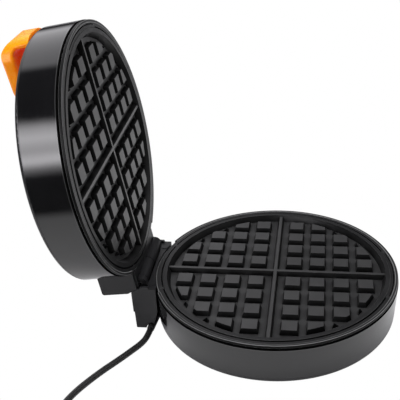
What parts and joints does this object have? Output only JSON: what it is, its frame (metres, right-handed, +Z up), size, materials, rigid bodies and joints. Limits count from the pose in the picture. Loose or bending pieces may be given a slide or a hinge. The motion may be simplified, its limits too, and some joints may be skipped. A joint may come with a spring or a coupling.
{
  "type": "round waffle maker",
  "caption": "Round electric waffle maker with a hinged lid standing open, studded plates, an arched handle, rear hinge housings and a coiled cord.",
  "frame": {"origin": "bottom centre of the box round the machine without its cord, coil and plug, on the table under the feet", "axes": "+Z up, +Y from the front of the base to the hinge and the open lid, X along the hinge"},
  "size_m": [0.3238, 0.3394, 0.2549],
  "materials": {
    "shell": "high gloss black",
    "cover": "matte black",
    "feet": "matte",
    "screws": "zinc plated",
    "dark_screws": "black coated",
    "plate": "dark non-stick coating, satin",
    "element": "dull",
    "shield": "plain sheet",
    "thermostat": "plain",
    "ceramic": "unglazed ceramic",
    "wire": "glass fibre sleeve",
    "hinge_plastic": "satin black",
    "pin": "ground",
    "brass": "plain",
    "cord": "smooth black",
    "handle": "glossy orange",
    "red_lens": "clear red",
    "green_lens": "clear green"
  },
  "bodies": {
    "base": {"base_shell": "shell", "base_bottom_cover": "cover", "base_cover_screws": "screws", "base_feet": "feet", "base_waffle_plate": "plate", "base_plate_screws": "dark_screws", "base_heating_element": "element", "base_heat_shield": "shield", "base_shield_screws": "screws", "base_thermostat": "thermostat", "base_thermal_fuse": "thermostat", "base_terminal_block": "ceramic", "base_wiring": "cord", "base_hinge_housing": "hinge_plastic", "hinge_lower_cover": "hinge_plastic", "hinge_cover_screws": "screws", "hinge_pin": "pin", "hinge_bush": "brass", "base_lead": "wire", "cord_strain_relief": "cord", "power_cord": "cord", "cord_coil": "cord", "plug_body": "cord", "plug_blades": "brass"},
    "lid": {"lid_shell": "shell", "lid_waffle_plate": "plate", "lid_plate_screws": "dark_screws", "lid_heating_element": "element", "lid_heat_shield": "shield", "lid_shield_screws": "screws", "lid_thermal_fuse": "thermostat", "lid_terminal_block": "ceramic", "lid_wiring": "wire", "lid_hinge_housing": "hinge_plastic", "lid_lead": "wire", "handle": "handle", "handle_screws": "screws", "power_lens": "red_lens", "ready_lens": "green_lens", "lamp_holder": "cover"}
  },
  "joints": [
    {"name": "lid_hinge", "type": "hinge", "parent": "base", "child": "lid", "pos_m": [0, 0.06174, 0.0443], "axis": [1, 0, 0], "range_deg": [0, 99.57]}
  ]
}
